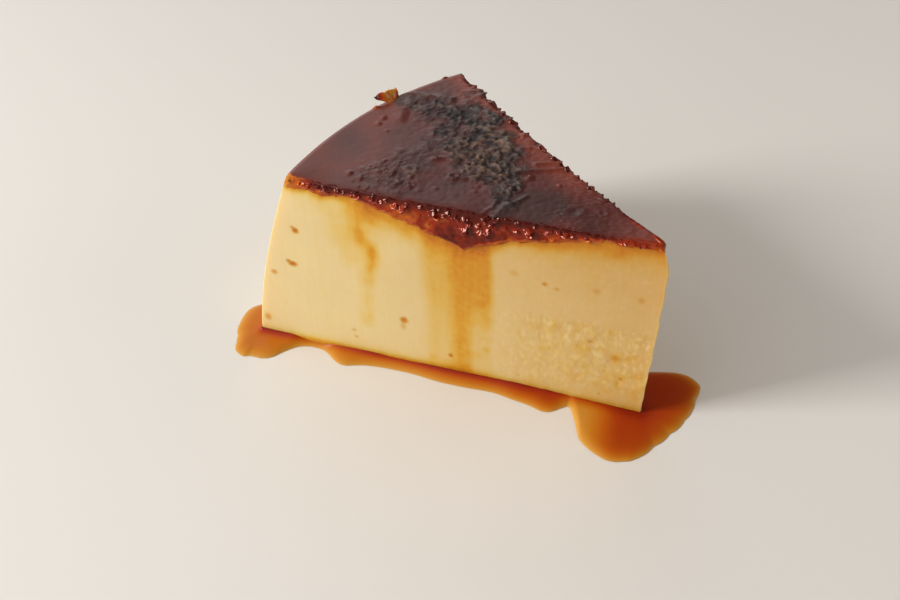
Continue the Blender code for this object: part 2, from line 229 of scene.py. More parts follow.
# Steps of a station over which its reach is eased, and more widely for how high the pool climbs there
POOL_REACH_SOFTENING = (-0.018, -0.009, 0, 0.009, 0.018)
MENISCUS_SOFTENING = (-0.08, -0.04, 0, 0.04, 0.08)
# Where its cross-section has corners on top, as shares of its reach
POOL_SECTION = (
    0.992, 0.975, 0.95, 0.915, 0.87, 0.81, 0.74, 0.66, 0.57, 0.48, 0.39, 0.31, 0.24, 0.18, 0.13, 0.09, 0.06,
    0.035, 0.015, 0,
)

# Marks on the first cut: distance from the tip, height, half width, half height, depth, brownness
CUT_MARKS = (
    (85.4, 37.2, 0.75, 0.75, 0.9, 1), (86, 38, 0.55, 0.4, 0.3, 0.6), (87.3, 26.5, 1.05, 0.7, 1, 1),
    (88.4, 27.2, 0.6, 0.45, 0.5, 0.8), (92.7, 22.7, 0.8, 0.7, 0.5, 0.5), (59.3, 15.3, 0.9, 0.95, 0.9, 0.8),
    (59.6, 13.4, 0.6, 1.2, 0.2, 0.3), (47.6, 6.6, 0.55, 0.6, 0.4, 0.9), (72.9, 8.4, 0.6, 0.5, 0.2, 0.3),
    (72.4, 6.2, 0.5, 0.45, 0.2, 0.3), (96.6, 6.6, 0.8, 1, 0.2, 0.5), (25.1, 35.4, 0.6, 0.5, 0.3, 0.6),
    (22.3, 34.6, 0.6, 0.45, 0.1, 0.35), (13.4, 36.2, 0.9, 0.8, 0.1, 0.25), (32.2, 37, 1, 0.8, 0.1, 0.2),
    (3.4, 36, 0.7, 0.8, 0.1, 0.3), (5.9, 10.4, 0.35, 0.35, 0.3, 0.8), (10.6, 4.1, 0.3, 0.3, 0.2, 0.5),
    (30.6, 4.8, 0.35, 0.35, 0.2, 0.4), (13.7, 20.6, 0.8, 0.55, 0.3, 0.45), (7.6, 16.8, 1, 0.9, 0.2, 0.45),
)

# How high the first cut is curdled, and the crease round the wall
CURD_LEVEL = 26.5
CREASE_HEIGHT = 33.6
CREASE_DEPTH = 0.15
CREASE_WIDTH = 0.9
# About how far the wall runs from cut to cut
WALL_RUN = 60

# The broad run of caramel down the first cut, and the spines of the thin one and of its shadow
RUN_LEFT = 53.4
RUN_RIGHT = 37.2
RUN_CORE_LEFT = 46.8
RUN_CORE_RIGHT = 42.4
SECOND_RUN = (
    (65.6, 50), (69.4, 44.5), (69.8, 39.5), (66.6, 36), (66.4, 32), (68, 28), (68.8, 12),
)
SECOND_RUN_SHADOW = ((73, 46), (74, 39), (72.5, 33))
# Blots of soaked caramel: distance from the tip, height, half width, half height, strength
BLOTS = (
    (66.2, 45.6, 3.4, 3.4, 0.36), (69.2, 41, 2.4, 3.6, 0.22), (69.4, 37, 2.4, 2.6, 0.16),
    (66.4, 33.6, 1.8, 3.6, 0.4), (66, 35, 1.2, 1.8, 0.16), (67.2, 28, 1.5, 2.6, 0.24), (57, 43, 3, 2.4, 0.16),
    (69.5, 39, 5.5, 8, 0.12), (51.5, 41.5, 4, 3.2, 0.16), (78, 45, 4, 2.4, 0.12), (16, 17.2, 1.6, 1.8, 0.26),
    (7.7, 17, 1.4, 1.4, 0.34), (4.6, 17.2, 0.9, 1.2, 0.34), (6, 11, 2, 1.4, 0.24),
    (14.5, 12.6, 1.6, 1.2, 0.2), (9, 5.4, 1.6, 1.2, 0.22), (23, 21, 2, 1.4, 0.12), (2.5, 6, 1.6, 3, 0.22),
    (96.6, 7, 1.2, 1.6, 0.3), (90.5, 13, 1, 0.8, 0.1), (52.4, 4.8, 1.2, 0.9, 0.22), (38.6, 11, 0.9, 1, 0.34),
    (41, 8.5, 2.4, 1.4, 0.16), (13.6, 36.2, 1.3, 1.2, 0.16), (15.6, 37.6, 0.9, 0.8, 0.14),
    (32.4, 37.2, 1.4, 1.2, 0.12), (3.8, 36.2, 1.3, 1, 0.16), (46, 42.4, 5, 1.6, 0.3),
    (40.5, 41.6, 3, 1.2, 0.34), (9, 47, 3, 2, 0.14),
)
# Above this, more caramel stains the custard less and less
STAIN_KNEE = 0.6
# How far down the first cut the caramel's halo reaches, by distance from the tip
HALO_REACH = (
    (0, 3), (12, 3.4), (22, 3.5), (27, 2.4), (32, 1.8), (37, 2.2), (42, 3), (50, 3.3), (57, 2.4), (66, 3.2),
    (71, 2.2), (76, 1.2), (82, 1),
)

# Steps of each mesh outwards, across and upwards: those of a face at a cut go along, up and through it
CUSTARD_STEPS = (260, 70, 130)
LAYER_STEPS = (400, 170, 20)
FACE_STEPS = (640, 56, 2)
FLAKE_STEPS = (28, 32, 8)
# Steps round the pool: at the tip, front and back corners, and along the first cut, wall and second cut
POOL_CORNER_STEPS = (120, 50, 30)
POOL_SIDE_STEPS = (300, 110, 170)

# The view: where it looks from, its distance and what it looks at
VIEW_AZIMUTH = radians(18.57)
VIEW_ELEVATION = radians(42.15)
VIEW_ROLL = radians(-1.39)
VIEW_DISTANCE = 294.8
VIEW_TARGET = Vector((3.17, 3.77, 0))
VIEW_LENS = 44
VIEW_NEAREST = 10

# Lights, each as name, place and size in metres, power and colour
LIGHTS = (
    ("window", (-0.68, -0.39, 0.44), (0.26, 0.32), 7.3, (1, 0.99, 0.97)),
    ("fill", (0.6, 0.15, 0.25), (0.5, 0.4), 1.1, (1, 0.95, 0.89)),
)
FLOOR_WIDTH = 6000
FLOOR_DROP = 0.1
FLOOR_COLOUR = (0.78, 0.745, 0.7)

# Colours as red, green and blue: the surroundings' light from the far side to the window's side
SURROUNDINGS = (
    (0, (0.2, 0.17, 0.14)), (0.45, (0.15, 0.13, 0.11)), (0.53, (0.13, 0.12, 0.11)),
    (0.6, (0.45, 0.44, 0.43)), (0.67, (1, 1, 1)), (0.8, (0.85, 0.85, 0.85)), (1, (0.6, 0.6, 0.6)),
)
# The custard: two tones where it is pale and two where it is golden, which also serve as painted shade, its
# flecks and its browned pits
CUSTARD_PALE = ((0.78, 0.605, 0.295), (0.82, 0.66, 0.35))
CUSTARD_GOLD_AND_SHADE = ((0.63, 0.385, 0.125), (0.68, 0.43, 0.155))
CURD_FLECK = (0.84, 0.68, 0.36)
PIT_BROWN = (0.53, 0.155, 0.002)
# What soaked caramel leaves of the custard's colour, from none to most
SOAKED = (
    (0, (1, 1, 1)), (0.2, (0.98, 0.925, 0.7)), (0.4, (0.96, 0.81, 0.37)), (0.6, (0.93, 0.66, 0.13)),
    (0.8, (0.87, 0.48, 0.03)), (1, (0.68, 0.24, 0.004)),
)
# Wet caramel, from near black where it is thick to amber where it is thin
THIN_CARAMEL = (
    (0, (0.022, 0.002, 0.002)), (0.3, (0.09, 0.005, 0.002)), (0.55, (0.26, 0.018, 0.002)),
    (0.8, (0.52, 0.105, 0.006)), (1, (0.68, 0.3, 0.035)),
)
WET_SHEEN = (1, 0.64, 0.54)
# The top: two tones where it is plain, one where it is thin and, on the left, painted sheen, and one in its
# shades
TOP_PLAIN = ((0.075, 0.02, 0.017), (0.115, 0.026, 0.021))
TOP_RED_AND_SHEEN = (0.205, 0.043, 0.026)
TOP_SHADE = (0.04, 0.024, 0.02)
# The char and the dust on it, each from its hollows to its crests: darker in hollows as painted shade,
# lighter on crests as painted highlight
CHAR_TONES = ((0.014, 0.01, 0.01), (0.118, 0.091, 0.082))
DUST_TONES = ((0.026, 0.012, 0.007), (0.235, 0.122, 0.066))
# The pool, from its rim to where it is deep
SAUCE = (
    (0, (0.62, 0.34, 0.085)), (0.06, (0.58, 0.255, 0.035)), (0.17, (0.54, 0.185, 0.013)),
    (0.32, (0.48, 0.105, 0.005)), (0.48, (0.37, 0.04, 0.003)), (0.64, (0.26, 0.016, 0.003)),
    (0.82, (0.15, 0.01, 0.004)), (1, (0.1, 0.008, 0.004)),
)


def smooth(start, end, value):
    """Go gently from 0 at start to 1 at end, whichever of the two is higher."""
    share = min(max((value - start) / (end - start), 0), 1)
    return share * share * (3 - 2 * share)


def bell(off, width=1):
    """1 where off is 0, fading softly over a width on either side."""
    return exp(-((off / width) ** 2))


def mix(first, second, share):
    """Go from first to second as share goes from 0 to 1."""
    return first + (second - first) * share


def heading(bearing):
    """A unit step on the floor along a bearing."""
    return Vector((cos(bearing), sin(bearing)))


def noise_spot(spot, length, layer):
    """Where a spot lies in the noise: in steps of a length, on a layer."""
    return Vector((spot.x / length, spot.y / length, layer))


def wave(spot, length, layer):
    """A smooth wave from -1 to 1 over a plane."""
    return noise.noise(noise_spot(spot, length, layer))


def waves(spot, *rows):
    """Waves added up: each row gives a strength, a length and a layer."""
    return sum(strength * wave(spot, length, layer) for strength, length, layer in rows)


def streaks(along, height, share, length, layer):
    """A wave drawn out upwards, as caramel runs."""
    return wave(Vector((along, height * share)), length, layer)


def shift(spot, length, layers):
    """A smooth shift of a spot, up to 1 each way."""
    return Vector([wave(spot, length, layer) for layer in layers])


def lumps(spot, length, layer):
    """Round lumps from 0 to 1, as of blistered sugar."""
    nearest = noise.voronoi(noise_spot(spot, length, layer))[0][0]
    return max(0, 1 - 1.3 * nearest)


def block(steps, place, names, hidden=()):
    """A closed block, bent into shape: place gives each corner's spot and marks."""
    along, across, upwards = steps
    shape = bmesh.new()
    bmesh.ops.create_grid(shape, x_segments=along, y_segments=across, size=0.5)
    raised = bmesh.ops.extrude_face_region(shape, geom=shape.faces[:], use_keep_orig=True)["geom"]
    corners = [item for item in raised if isinstance(item, bmesh.types.BMVert)]
    bmesh.ops.translate(shape, verts=corners, vec=(0, 0, 1))
    for level in hidden:
        faces = [face for face in shape.faces if all(vert.co.z == level for vert in face.verts)]
        bmesh.ops.dissolve_faces(shape, faces=faces, use_verts=True)
    risers = [edge for edge in shape.edges if edge.verts[0].co.z != edge.verts[1].co.z]
    bmesh.ops.subdivide_edges(shape, edges=risers, cuts=upwards - 1, use_grid_fill=True)
    marks = [shape.verts.layers.float.new(name) for name in names]
    for vert in shape.verts:
        point, values = place(vert.co.x + 0.5, vert.co.y + 0.5, vert.co.z)
        vert.co = point * MM
        for mark, value in zip(marks, values):
            vert[mark] = value
    return shape


def add_object(name, data):
    """Put a mesh, a light or a camera in the scene."""
    added = bpy.data.objects.new(name, data)
    bpy.context.scene.collection.objects.link(added)
    return added


def piece_from(shape, name, sharpest=pi):
    """Turn a shape into a smooth piece: folds over an angle stay sharp."""
    bmesh.ops.recalc_face_normals(shape, faces=shape.faces)
    mesh = bpy.data.meshes.new(name)
    shape.to_mesh(mesh)
    shape.free()
    mesh.shade_smooth()
    mesh.set_sharp_from_angle(angle=sharpest)
    return add_object(name, mesh)


def wall_radius(height):
    """Radius of the whole pudding at a height: it leans in towards the top."""
    rise = max(height, 0) / PUDDING_HEIGHT
    return mix(BASE_RADIUS, TOP_RADIUS, rise ** WALL_CURVE)


def reach_to_wall(bearing, height):
    """Distance from the slice's tip to the pudding's wall."""
    along = CENTRE_FROM_TIP.dot(heading(bearing))
    aside = CENTRE_FROM_TIP.length_squared - along ** 2
    return along + sqrt(wall_radius(height) ** 2 - aside)


def slice_spot(out, turn, height):
    """A spot from the tip: out runs to the wall, and turn from the first cut to the second."""
    bearing = pi - turn * SLICE_ANGLE
    spot = heading(bearing) * mix(TIP_ROUND, reach_to_wall(bearing, height), out)
    spread = TIP_BULGE_SPREAD_ABOVE if height > TIP_BULGE_LEVEL else TIP_BULGE_SPREAD_BELOW
    spot.x += TIP_BULGE * bell(height - TIP_BULGE_LEVEL, spread) * (1 - out) ** TIP_BULGE_FADE
    bow = SECOND_CUT_BOW * sin(pi * out) * turn * (height / PUDDING_HEIGHT) ** 2
    return spot - heading(SECOND_CUT_FACING) * bow


def from_origin(spot, height):
    """Put a spot that is measured from the tip into the part's frame."""
    return Vector((spot.x - ORIGIN_FROM_TIP.x, spot.y - ORIGIN_FROM_TIP.y, height))


def layer_depth(spot):
    """Depth of the caramel under the top: its sag at the first cut fades inwards."""
    depth = mix(LAYER_DEPTH_AT_TIP, LAYER_DEPTH, smooth(0, LAYER_THICKENS_OVER, -spot.x))
    inwards = max(spot.y, 0)
    from_sag = -spot.x - SAG_FROM_TIP
    run = SAG_RUN_TO_WALL if from_sag > 0 else SAG_RUN_TO_TIP
    sag = max(0, 1 - abs(from_sag) / run) * max(0, 1 - inwards / SAG_RUN_INWARDS)
    depth += SAG_DEPTH * sag + LAYER_WAVE * wave(spot, LAYER_WAVE_LENGTH, 3)
    for place, half_width, extra in LAYER_DIPS:
        depth += extra * bell(-spot.x - place, half_width) * max(0, 1 - inwards / DIPS_RUN_INWARDS)
    return depth + waves(spot, (0.35, 2.6, 8), (0.2, 1.1, 9))


def along_cut(table, along):
    """A value at a distance from the tip, from a table of distances and values."""
    places, values = zip(*table)
    return float(numpy.interp(along, places, values))


def distance_to_spine(spot, spine):
    """Distance from a spot to a bent line."""
    nearest = []
    for start, end in zip(spine, spine[1:]):
        foot, share = intersect_point_line(spot, Vector(start), Vector(end))
        foot = Vector(start).lerp(Vector(end), min(max(share, 0), 1))
        nearest.append((foot.xy - spot).length)
    return min(nearest)


def spots_share(spot, spots, wander=0):
    """How much of a list of soft spots shows here, from 0 to 1."""
    most = 0
    for x, y, radius, strength in spots:
        off = hypot(spot.x - x, spot.y - y) / radius + wander
        if off < SPOT_END:
            most = max(most, strength * smooth(SPOT_END, SPOT_CORE, off))
    return most


def burnt_share(spot):
    """How burnt the caramel is at a spot of the top, from 0 to 1."""
    wander = waves(spot, (0.3, 5, 10), (0.28, 2.1, 11))
    patches = 0.86 + waves(spot, (0.55, 4.2, 62), (0.25, 1.9, 63))
    return min(1, spots_share(spot, CHAR_SPOTS, wander) * patches)


def char_height(burnt, crag):
    """How high the char stands where the caramel is burnt."""
    return CHAR_HEIGHT * burnt * (0.12 + 0.85 * crag)


def bump(off, height):
    """Height of a lump, or of a burst bubble's hole and rim, off radii from its middle."""
    if height > 0:
        return height * smooth(1.3, 0, off)
    return height * (smooth(0.9, 0.1, off) - 0.5 * bell(off - 1.1, 0.35))


def beads(spot, size, layer, share):
    """Beads and burst bubbles of boiled sugar, up to 1 high: a share of the cells holds one."""
    distances, points = noise.voronoi(noise_spot(spot, size, layer))
    chance = noise.cell(points[0] * CHANCE_STEP)
    if chance < 1 - 2 * share:
        return 0
    off = distances[0] / (0.3 + 0.14 * chance)
    if chance > 0.5:
        return 0.8 * bell(off - 0.9, 0.35) - 0.3 * smooth(0.8, 0, off)
    return max(0, 1 - off * off) ** 0.7


def crags(spot):
    """The char's broken crust, from 0 to about 1."""
    bent = Vector((0.9 * spot.x, spot.y)) + shift(spot, 1.7, (20, 21)) * 0.4
    ridges = 1 - abs(wave(bent, 1.9, 2)) * 2.6
    rough = 0.38 * lumps(bent, 1.6, 0) + 0.18 * lumps(bent, 0.9, 1) + 0.24 * max(ridges, 0)
    return rough + waves(bent, (0.4, 2.3, 3), (0.16, 1, 33)) + 0.4 * wave(spot, 4, 70)


def edge_comb(spot):
    """Fine teeth that the knife dragged along the second cut, from 0 to 1."""
    if not COMB_START < spot.y < COMB_END:
        return 0
    teeth = sin(2 * pi * (spot.y + 0.5 * wave(spot, 3, 38)) / COMB_TOOTH)
    ends = smooth(COMB_START, COMB_START + 1.5, spot.y) * smooth(COMB_END, COMB_END - 3, spot.y)
    return max(0, teeth + 0.9 * wave(spot, 1.9, 88)) * ends


def lumps_and_wrinkles(spot):
    """Height of the named lumps, burst bubbles and wrinkles of the top."""
    relief = 0
    for x, y, radius, height in TOP_LUMPS:
        off = hypot(spot.x - x, spot.y - y) / radius
        if off < 2:
            relief += bump(off + 0.3 * wave(spot, 0.8, 36) / max(radius, 1) ** 2, height)
    for course, half_width, height in TOP_WRINKLES:
        if abs(spot.x - course[1][0]) < 9 and abs(spot.y - course[1][1]) < 9:
            off = distance_to_spine(spot, course) / half_width
            relief += height * bell(off + 0.35 * wave(spot, 1.3, 37))
    return relief


def crust_relief(spot, burnt, crag, from_second):
    """Height of the crags, beads, lumps and wrinkles above the smooth caramel."""
    relief = char_height(burnt, crag) + lumps_and_wrinkles(spot)
    blistered = smooth(1, 0.45, (spot - BLISTER_CENTRE).length / BLISTER_RADIUS)
    scattered = 0.45 * smooth(0.1, 0.45, wave(spot, 8, 5)) * smooth(-68, -58, spot.x)
    share = max(blistered, scattered * (1 - burnt))
    if share > 0:
        relief += share * (0.2 * beads(spot, 2.1, 4, 0.35) + 0.12 * beads(spot, 1.2, 6, 0.3))
        relief += 0.12 * share * max(0, wave(spot, 2.1, 34))
    relief += 0.3 * edge_comb(spot) * bell(from_second, 2.6)
    slanted = Vector((0.91 * spot.x + 0.42 * spot.y, 4 * (0.91 * spot.y - 0.42 * spot.x)))
    creased = smooth(-30, -22, spot.x) * smooth(-2, -8, spot.x)
    relief += creased * (0.07 * abs(wave(slanted, 4.2, 73)) + 0.03 * wave(spot, 0.9, 74))
    calm = mix(0.25, 1, smooth(-80, -56, spot.x))
    relief += calm * (0.09 * abs(wave(spot, 3.2, 7)) + 0.04 * wave(spot, 1.2, 39))
    return relief + 0.25 * wave(spot, 17, 4)


def cut_marks(along, height):
    """Depth and brownness of the pits and specks of the first cut."""
    depth = 0
    brown = 0
    for mark_along, mark_height, half_width, half_height, mark_depth, mark_brown in CUT_MARKS:
        reach = hypot((along - mark_along) / half_width, (height - mark_height) / half_height)
        if reach < 1.6:
            depth = max(depth, mark_depth * smooth(1.3, 0.35, reach))
            brown = max(brown, mark_brown * smooth(1.6, 0.3, reach))
    return depth, brown


def curd_share(along, height):
    """How curdled the first cut is: roughest low down near the tip."""
    level = CURD_LEVEL + 1.2 * wave(Vector((along, height)), 9, 12)
    above_base = mix(0.35, 1, smooth(2, 11, height))
    return smooth(level + 0.6, level - 2, height) * smooth(40, 24, along) * above_base


def main_run(along, height):
    """The first cut's broad run of caramel: a pale part, a core, and a part that fades."""
    plane = Vector((along, height))
    place = along + waves(plane, (0.5, 14, 13), (0.25, 3, 40))
    inside = smooth(RUN_LEFT + 2.4, RUN_LEFT - 1.6, place) * smooth(RUN_RIGHT - 1.5, RUN_RIGHT + 1.3, place)
    if inside == 0:
        return 0
    pale = mix(0.22, 0.42, smooth(4, 36, height))
    core = mix(0.6, 0.76, smooth(6, 38, height))
    fading = mix(0.16, 0.72, smooth(11, 31, height + 4 * wave(plane, 2.2, 75)))
    strength = mix(pale, core, smooth(RUN_CORE_LEFT + 2.8, RUN_CORE_LEFT - 1.8, place))
    strength = mix(strength, fading, smooth(RUN_CORE_RIGHT + 1.6, RUN_CORE_RIGHT - 1.4, place))
    fibres = streaks(along, height, 0.05, 1.3, 71) + 0.5 * wave(plane, 1.8, 76)
    return inside * strength * (1 + 0.12 * fibres)


def side_runs(along, height):
    """The first cut's thin run of caramel, its shadow and the blots."""
    plane = Vector((along, height))
    off = distance_to_spine(plane, SECOND_RUN) + 0.6 * wave(plane, 4.5, 15)
    side = 0.24 * bell(off, 1.8) * (1 + 0.4 * wave(plane, 3, 42))
    off = distance_to_spine(plane, SECOND_RUN_SHADOW) + 1.2 * wave(plane, 5, 43)
    side += 0.18 * bell(off, 3.4)
    for place, level, half_width, half_height, strength in BLOTS:
        off = hypot((along - place) / half_width, (height - level) / half_height)
        if off < 2.2:
            side += strength * bell(off) * (1 + 0.5 * wave(plane, 2.6, 65))
    return side


def stain_share(along, height, under):
    """How much caramel has soaked into the first cut at a spot."""
    plane = Vector((along, height))
    reach = along_cut(HALO_REACH, along) * (1 + 0.4 * wave(plane, 3.5, 77))
    from_edge = max(under - along_cut(WET_DROOP, along) - height, 0)
    halo = exp(-((from_edge / reach) ** 1.2))
    main = main_run(along, height)
    above_pool = max(height - 0.5 - 1.2 * smooth(0, MENISCUS_CALM_AT_TIP, along), 0)
    base = 0.5 * exp(-above_pool / 0.5) + 0.45 * exp(-((above_pool / 1.7) ** 1.5))
    base += 0.08 * smooth(45, 10, along) * smooth(26, 8, height)
    mottle = 0.06 * max(0, wave(plane, 6, 44)) + 0.05 * max(0, wave(plane, 2.2, 45))
    mottle += 0.05 * streaks(along, height, 0.07, 1.3, 78)
    stain = max(halo, main) + 0.45 * min(halo, main) + side_runs(along, height) + base + mottle
    if stain < STAIN_KNEE:
        return max(0, stain)
    return 1 - (1 - STAIN_KNEE) * exp((STAIN_KNEE - stain) / (1 - STAIN_KNEE))


def hidden_stain(height, below, strength, reach):
    """Caramel soaked into the top and base of a side that the photograph doesn't show."""
    return 0.3 * exp(-height / 2.4) + strength * exp(-((below / reach) ** 1.3))


def first_cut_flesh(along, height, under):
    """How far the first cut's custard stands out, and its stain, brownness and curd."""
    plane = Vector((along, height))
    upright = Vector((along, 0.75 * height))
    depth, brown = cut_marks(along, height)
    curd = curd_share(along, height)
    specks = beads(upright, 1.4, 72, 0.22)
    soft = waves(upright, (0.1, 2.4, 16), (0.06, 1.1, 17)) + 0.05 * specks - 0.12
    stands = waves(plane, (0.12, 14, 18), (0.02, 2, 46)) - 0.15 * depth + curd * soft
    warm = 0.32 * max(0, wave(upright, 2.6, 47)) + 0.22 * max(0, wave(upright, 1.2, 79))
    stain = stain_share(along, height, under) + curd * (0.06 + warm - 0.1 * specks)
    return stands, max(0, 0.8 * brown, stain), brown, curd


def second_cut_flesh(along, height, under):
    """The same for the second cut, with faint streaks."""
    plane = Vector((along, height))
    streak = max(0, streaks(along, height, 0.08, 6.5, 48)) * smooth(0, 40, height)
    curd = 0.7 * smooth(0, 0.5, wave(plane, 16, 19))
    stands = 0.12 * wave(plane, 2.2, 22) * curd + 0.15 * wave(plane, 13, 23)
    stands += 0.08 * curd * beads(plane, 1.6, 72, 0.4)
    return stands, hidden_stain(height, under - height, 0.85, 2.4) + 0.8 * streak, 0, curd


def wall_flesh(across, height, under):
    """The same for the wall, with a few drips and its crease."""
    plane = Vector((across, height))
    drip = max(0, streaks(across, height, 0.1, 5, 49)) * smooth(10, 46, height)
    crease = bell(height - CREASE_HEIGHT - 0.8 * wave(plane, 6, 80), CREASE_WIDTH)
    stands = 0.12 * wave(plane, 9, 24) - CREASE_DEPTH * crease
    return stands, hidden_stain(height, under - height, 0.8, 2) + 0.5 * drip, 0, 0


def custard_place(out, turn, rise):
    """Bend a block into the custard, with its stains and marks."""
    under = PUDDING_HEIGHT - layer_depth(slice_spot(out, turn, PUDDING_HEIGHT)) + LAYER_OVERLAP
    height = rise * under
    spot = slice_spot(out, turn, height)
    along = spot.length
    facing = pi - turn * SLICE_ANGLE
    flesh = (0, hidden_stain(height, 0, 0, 1), 0, 0)
    if turn == 0:
        facing = FIRST_CUT_FACING
        flesh = first_cut_flesh(along, height, under)
    elif turn == 1:
        facing = SECOND_CUT_FACING
        flesh = second_cut_flesh(along, height, under)
    elif out == 1:
        flesh = wall_flesh(turn * WALL_RUN, height, under)
    stands, stain, brown, curd = flesh
    spot += heading(facing) * stands
    if out == 0:
        spot.x += 0.35 * wave(Vector((along, height)), 5, 25) * smooth(0, 6, height)
    # Golden towards the tip and the top: partly the custard's own tone, partly painted shade where the light
    # falls off; paler low down as painted light bounced from the floor
    golden_and_shade = smooth(100, -4, along) * mix(0.48, 1.2, height / PUDDING_HEIGHT)
    return from_origin(spot, height), (min(stain, 1), brown, curd, golden_and_shade)


def curl(aside, above, half_height):
    """Height of a small torn curl of boiled sugar, turned to the light."""
    off = hypot(aside / CURL_LENGTH, above) / half_height
    if off > 1:
        return 0
    tilted = CURL_SLOPE_ASIDE * aside - CURL_SLOPE_UP * above
    return max(0, 0.8 * half_height + tilted) * smooth(1, 0.75, off)


def named_curls(plane):
    """Height of the first cut's own curls."""
    bent = plane + shift(plane, 0.8, (81, 84)) * 0.22
    return max(curl(bent.x - x, bent.y - level, size * CURL_SWELL) for x, level, size in FACE_CURLS)


def strewn_curls(plane, size, layer, share):
    """Height of strewn curls: a share of the cells holds one."""
    point = noise.voronoi(noise_spot(plane, size, layer))[1][0]
    chance = noise.cell(point * CHANCE_STEP)
    if chance < 1 - 2 * share:
        return 0
    return curl(plane.x - point.x * size, plane.y - point.y * size, size * (0.2 + 0.12 * chance))


def wet_caramel(plane, thickness, up, below):
    """How far wet caramel stands out and how it glows, up above its foot and below its top."""
    along = -plane.x
    dip = smooth(3.5, 8, thickness)
    stands = 0.5 * sqrt(min(max(up / 1.2, 0), 1)) - 0.3
    row = bell(below - 1.3 - 0.6 * dip, 0.6 + 1.2 * dip)
    stands += row * strewn_curls(plane, 1.7, 64, 0.3) + 0.4 * strewn_curls(plane, 1.1, 82, 0.15)
    soft = waves(plane, (0.2, 2.6, 26), (0.12, 1.2, 27)) + 0.3 * dip * smooth(0, 3, below)
    stands += soft * smooth(0, 1.2, up)
    glow = along_cut(WET_GLOW, along) + waves(plane, (0.22, 3.4, 29), (0.12, 1.2, 56))
    glow = mix(along_cut(WET_TOP, along), glow, smooth(0.2, mix(1.6, 3.6, dip), below))
    amber = along_cut(WET_AMBER, along)
    ragged = waves(plane, (0.8, 1.8, 53), (0.4, 0.7, 85))
    orange = smooth(1.2 * amber + 0.3, 0.5 * amber, up + ragged)
    glow = max(glow, orange * (0.74 + 0.2 * wave(plane, 1.2, 86)))
    dark = bell(along - 46, 3) * bell(up - 1.4 - 0.9 * wave(plane, 3, 54), 1.2)
    return stands, glow * (1 - 0.5 * dark)


def crust(spot, from_second, from_wall):
    """Height of the top at a spot, its relief, and how burnt and craggy it is."""
    burnt = burnt_share(spot)
    crag = crags(spot) if burnt > 0 else 0
    relief = crust_relief(spot, burnt, crag, from_second)
    drop = EDGE_DROP * smooth(EDGE_DROP_WIDTH, 0, min(spot.y, from_wall)) ** 2
    height = PUDDING_HEIGHT + relief * mix(0.6, 1, smooth(0, 1.6, spot.y)) - drop
    return height, relief, burnt, crag


def skin_fold(spot):
    """How much the skin folds down over the first cut, from 0 to 1."""
    return bell(spot.x - SKIN_FOLD_PLACE, SKIN_FOLD_WIDTH)


def face_place(turn, out, level, stand):
    """Bend a flat block into the wet caramel at a cut: on the first one it runs onto the top."""
    above = slice_spot(out, turn, PUDDING_HEIGHT)
    thickness = layer_depth(above)
    from_wall = (1 - out) * TOP_RADIUS
    topside = crust(above, FAR, from_wall)[0]
    bottom = PUDDING_HEIGHT - thickness - 0.3
    bend = 1
    if turn == 0:
        bottom -= along_cut(WET_DROOP, above.length)
        bend = WET_BEND
    fold = (1 - turn) * skin_fold(above)
    height = mix(bottom, topside, 1 - (1 - min(level / bend, 1)) ** 1.3)
    below = topside - height
    plane = Vector((-above.length, height))
    stands, glow = wet_caramel(plane, thickness, height - bottom, below)
    stands -= 0.25 * smooth(0.5, 0, below) + 0.6 * fold * smooth(2, 0.5, below)
    if turn == 0:
        facing = FIRST_CUT_FACING
        stands += named_curls(plane) * smooth(0, 0.4, below)
    else:
        facing = SECOND_CUT_FACING
        glow = min(glow, 0.6)
    spot = slice_spot(out, turn, height) + heading(facing) * mix(-WET_BACK, stands, stand)
    if level > bend:
        run = along_cut(WET_RUN, above.length) * (1 - fold)
        run += waves(above, (0.8, 2.3, 51), (0.5, 0.9, 52))
        run = min(run, 0.7 * above.length * tan(SLICE_ANGLE))
        onto = (level - bend) / (1 - bend)
        spot.y += onto * max(run, 0.1)
        over = mix(0.06, -0.12, onto) - (1 - stand) * WET_BACK
        height = crust(Vector((above.x, max(spot.y, 0))), FAR, from_wall)[0] + over
    return from_origin(spot, height), (min(max(glow, 0), 1),)


def torn_edge(above, out, below):
    """How far the layer reaches past the second cut at a depth, and how much of it is skin."""
    torn = waves(above, (1, 2.9, 5), (0.8, 1.5, 6), (0.2, 0.7, 30))
    calm = smooth(0, 16, above.length) * (1 - 0.8 * smooth(0.94, 1, out))
    reach = (0.4 + 1.6 * max(torn, -0.3) * calm) * out + 0.25 * edge_comb(above)
    skin = smooth(2 * SKIN, 0.8 * SKIN, below)
    return mix(-0.4, reach, skin), skin


def red_and_sheen_share(above, from_second, from_wall):
    """How red the top is: it is thin along the second cut and the wall and at the tip, and on the left the
    red is a painted sheen.
    """
    red = smooth(9, 1.5, from_second) * smooth(18, 32, above.length)
    red = max(red, 0.6 * smooth(6, 0, from_wall), 0.9 * smooth(16, 2, above.length))
    # Redder on the left: a painted sheen
    red = max(red, 0.5 * smooth(-60, -76, above.x))
    return red + 0.8 * smooth(1, 0, from_wall)


def char_marks(above, relief, burnt, crag):
    """How charred, dusty and shaded the top is at a spot, and how high in the char: hollows get painted shade
    and crests a painted highlight.
    """
    # Pale spots on folds are a painted highlight: they raise the char and its light crest tone
    pale_highlight = spots_share(above, PALE_HIGHLIGHT_SPOTS, 0.2 * wave(above, 2, 83))
    # Hollows below the char's crust are painted dark as shade
    shaded_hollow = smooth(0, 0.3, char_height(burnt, crag) - relief)
    shade = max(spots_share(above, SHADE_SPOTS, 0.35 * wave(above, 5, 60)), shaded_hollow)
    crest_highlight = smooth(0.12, 0.75, crag) + 0.3 * wave(above, 1.1, 61) - 0.8 * shaded_hollow
    return max(burnt, pale_highlight), spots_share(above, DUST_SPOTS), shade, max(min(crest_highlight, 1), pale_highlight)


